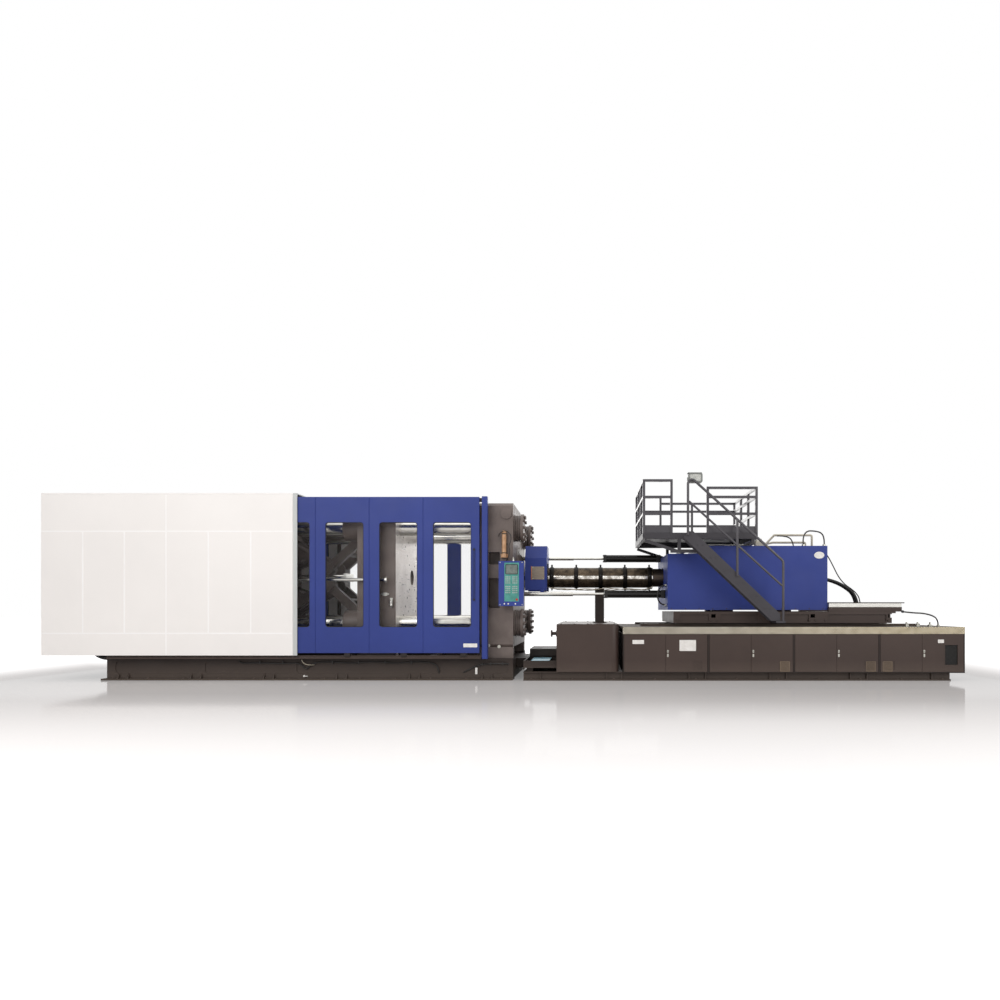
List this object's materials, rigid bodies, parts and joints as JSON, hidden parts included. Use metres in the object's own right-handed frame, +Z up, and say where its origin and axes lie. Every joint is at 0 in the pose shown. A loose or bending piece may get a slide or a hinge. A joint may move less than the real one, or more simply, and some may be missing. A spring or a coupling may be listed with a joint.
{
  "type": "injection moulding machine",
  "caption": "Large horizontal toggle-clamp plastic injection moulding machine with sliding safety gates, injection carriage, cabinets, work platform and stairs.",
  "frame": {"origin": "on the floor under the middle of the machine's length and width", "axes": "+X from the clamp end to the injection end, +Y from the operator's side to the far side, +Z up"},
  "size_m": [13.86, 2.7, 3.138],
  "materials": {
    "dark_enamel": "semi-gloss enamel",
    "cast_enamel": "enamel over a casting",
    "ground_steel": "ground and polished",
    "white_enamel": "satin enamel",
    "blue_enamel": "semi-gloss enamel",
    "window_sheet": "clear sheet",
    "chequer_plate": "raised tread pattern",
    "barrel_steel": "heat darkened",
    "heater_mesh": "perforated sheet",
    "black_enamel": "gloss enamel",
    "grey_enamel": "satin enamel",
    "lamp_grey": "satin",
    "bright_steel": "brushed",
    "cream_pipe": "satin",
    "hose_rubber": "matt",
    "grease_tan": "translucent cartridge",
    "keypad_teal": "satin overlay",
    "button_white": "gloss",
    "button_red": "gloss"
  },
  "bodies": {
    "machine": {"clamp_base": "dark_enamel", "slideways": "ground_steel", "fixed_platen": "cast_enamel", "tail_platen": "cast_enamel", "tie_bars": "ground_steel", "tie_bar_nuts": "cast_enamel", "clamp_cylinder": "cast_enamel", "guide_rods": "ground_steel", "grease_pump": "grease_tan", "cover_panels": "white_enamel", "cover_shell": "white_enamel", "cover_frame": "dark_enamel", "gate_posts": "blue_enamel", "injection_base": "dark_enamel", "tank_box": "dark_enamel", "cabinet_frame": "dark_enamel", "deck": "chequer_plate", "suction_hoses": "hose_rubber"},
    "moving_platen": {"moving_platen": "cast_enamel", "lube_filter": "bright_steel", "safety_rod": "ground_steel"},
    "front_link_upper": {"toggle_front_upper": "cast_enamel"},
    "front_link_lower": {"toggle_front_lower": "cast_enamel"},
    "rear_link_upper": {"toggle_rear_upper": "cast_enamel"},
    "rear_link_lower": {"toggle_rear_lower": "cast_enamel"},
    "crosshead": {"crosshead": "cast_enamel"},
    "cross_link_upper": {"cross_link_upper": "cast_enamel"},
    "cross_link_lower": {"cross_link_lower": "cast_enamel"},
    "front_gate": {"door_front": "blue_enamel", "panes_front": "window_sheet"},
    "rear_gate": {"door_rear": "blue_enamel", "panes_rear": "window_sheet"},
    "purge_guard": {"purge_guard": "blue_enamel"},
    "operator_panel": {"panel_housing": "blue_enamel", "keypad": "keypad_teal"},
    "button_left": {"button_left": "button_white"},
    "button_middle": {"button_middle": "button_white"},
    "button_right": {"button_right": "button_white"},
    "stop_button": {"stop_button": "button_red"},
    "carriage": {"sled": "dark_enamel", "injection_cover": "blue_enamel", "barrel": "barrel_steel", "heater_covers": "heater_mesh", "carriage_cylinders": "black_enamel", "platform": "grey_enamel", "handrails": "grey_enamel", "stair_rails": "grey_enamel", "stairs": "grey_enamel", "work_lamp": "lamp_grey", "hopper_plate": "bright_steel", "top_pipes": "cream_pipe", "carriage_hoses": "hose_rubber"},
    "cabinet_leaf_1": {"cabinet_door_1": "dark_enamel"},
    "cabinet_leaf_2": {"cabinet_door_2": "dark_enamel"},
    "cabinet_leaf_3": {"cabinet_door_3": "dark_enamel"},
    "cabinet_leaf_4": {"cabinet_door_4": "dark_enamel"},
    "cabinet_leaf_5": {"cabinet_door_5": "dark_enamel"},
    "cabinet_leaf_6": {"cabinet_door_6": "dark_enamel"},
    "cabinet_leaf_7": {"cabinet_door_7": "dark_enamel"},
    "cabinet_leaf_8": {"cabinet_door_8": "dark_enamel"}
  },
  "joints": [
    {"name": "platen_slide", "type": "slide", "parent": "machine", "child": "moving_platen", "axis": [1, 0, 0], "range_m": [0, 0.34]},
    {"name": "front_link_upper_pivot", "type": "hinge", "parent": "moving_platen", "child": "front_link_upper", "pos_m": [-2.38, 0, 2.24], "axis": [0, 1, 0], "range_deg": [0, 42.44]},
    {"name": "front_link_lower_pivot", "type": "hinge", "parent": "moving_platen", "child": "front_link_lower", "pos_m": [-2.38, 0, 0.96], "axis": [0, 1, 0], "range_deg": [-42.44, 0]},
    {"name": "rear_link_upper_pivot", "type": "hinge", "parent": "machine", "child": "rear_link_upper", "pos_m": [-3.76, 0, 2.24], "axis": [0, 1, 0], "range_deg": [-32.44, 0]},
    {"name": "rear_link_lower_pivot", "type": "hinge", "parent": "machine", "child": "rear_link_lower", "pos_m": [-3.76, 0, 0.96], "axis": [0, 1, 0], "range_deg": [0, 32.44]},
    {"name": "crosshead_slide", "type": "slide", "parent": "machine", "child": "crosshead", "axis": [1, 0, 0], "range_m": [0, 0.4299]},
    {"name": "cross_link_upper_pivot", "type": "hinge", "parent": "crosshead", "child": "cross_link_upper", "pos_m": [-3.77051, 0, 1.75], "axis": [0, 1, 0], "range_deg": [-58.87, 0]},
    {"name": "cross_link_lower_pivot", "type": "hinge", "parent": "crosshead", "child": "cross_link_lower", "pos_m": [-3.77051, 0, 1.45], "axis": [0, 1, 0], "range_deg": [0, 58.87]},
    {"name": "front_gate_slide", "type": "slide", "parent": "machine", "child": "front_gate", "axis": [-1, 0, 0], "range_m": [0, 2.55]},
    {"name": "rear_gate_slide", "type": "slide", "parent": "machine", "child": "rear_gate", "axis": [-1, 0, 0], "range_m": [0, 2.55]},
    {"name": "guard_slide", "type": "slide", "parent": "machine", "child": "purge_guard", "axis": [1, 0, 0], "range_m": [0, 0.3]},
    {"name": "panel_swivel", "type": "hinge", "parent": "machine", "child": "operator_panel", "pos_m": [0.12, -1.19, 1.44], "axis": [0, 0, 1], "range_deg": [-25, 25]},
    {"name": "button_left_press", "type": "slide", "parent": "operator_panel", "child": "button_left", "axis": [0, 1, 0], "range_m": [0, 0.005], "stiffness_N_per_m": 500, "springref_m": -0.002},
    {"name": "button_middle_press", "type": "slide", "parent": "operator_panel", "child": "button_middle", "axis": [0, 1, 0], "range_m": [0, 0.005], "stiffness_N_per_m": 500, "springref_m": -0.002},
    {"name": "button_right_press", "type": "slide", "parent": "operator_panel", "child": "button_right", "axis": [0, 1, 0], "range_m": [0, 0.005], "stiffness_N_per_m": 500, "springref_m": -0.002},
    {"name": "stop_button_press", "type": "slide", "parent": "operator_panel", "child": "stop_button", "axis": [0, 1, 0], "range_m": [0, 0.005], "stiffness_N_per_m": 500, "springref_m": -0.002},
    {"name": "carriage_slide", "type": "slide", "parent": "machine", "child": "carriage", "axis": [1, 0, 0], "range_m": [0, 0.4]},
    {"name": "cabinet_hinge_1", "type": "hinge", "parent": "machine", "child": "cabinet_leaf_1", "pos_m": [1.827, -1.339, 0.4], "axis": [0, 0, 1], "range_deg": [-110, 0]},
    {"name": "cabinet_hinge_2", "type": "hinge", "parent": "machine", "child": "cabinet_leaf_2", "pos_m": [3.0555, -1.339, 0.4], "axis": [0, 0, 1], "range_deg": [0, 110]},
    {"name": "cabinet_hinge_3", "type": "hinge", "parent": "machine", "child": "cabinet_leaf_3", "pos_m": [3.1095, -1.339, 0.4], "axis": [0, 0, 1], "range_deg": [-110, 0]},
    {"name": "cabinet_hinge_4", "type": "hinge", "parent": "machine", "child": "cabinet_leaf_4", "pos_m": [4.338, -1.339, 0.4], "axis": [0, 0, 1], "range_deg": [0, 110]},
    {"name": "cabinet_hinge_5", "type": "hinge", "parent": "machine", "child": "cabinet_leaf_5", "pos_m": [4.392, -1.339, 0.4], "axis": [0, 0, 1], "range_deg": [-110, 0]},
    {"name": "cabinet_hinge_6", "type": "hinge", "parent": "machine", "child": "cabinet_leaf_6", "pos_m": [5.6205, -1.339, 0.4], "axis": [0, 0, 1], "range_deg": [0, 110]},
    {"name": "cabinet_hinge_7", "type": "hinge", "parent": "machine", "child": "cabinet_leaf_7", "pos_m": [5.6745, -1.339, 0.4], "axis": [0, 0, 1], "range_deg": [-110, 0]},
    {"name": "cabinet_hinge_8", "type": "hinge", "parent": "machine", "child": "cabinet_leaf_8", "pos_m": [6.903, -1.339, 0.4], "axis": [0, 0, 1], "range_deg": [0, 110]}
  ],
  "couplings": [
    {"joint": "front_link_upper_pivot", "follows": "platen_slide", "rad_per_m": 2.1527},
    {"joint": "front_link_lower_pivot", "follows": "platen_slide", "rad_per_m": -2.1527},
    {"joint": "rear_link_upper_pivot", "follows": "platen_slide", "rad_per_m": -1.6397},
    {"joint": "rear_link_lower_pivot", "follows": "platen_slide", "rad_per_m": 1.6397},
    {"joint": "crosshead_slide", "follows": "platen_slide", "ratio": 1.2584},
    {"joint": "cross_link_upper_pivot", "follows": "platen_slide", "rad_per_m": -2.9963},
    {"joint": "cross_link_lower_pivot", "follows": "platen_slide", "rad_per_m": 2.9963}
  ]
}
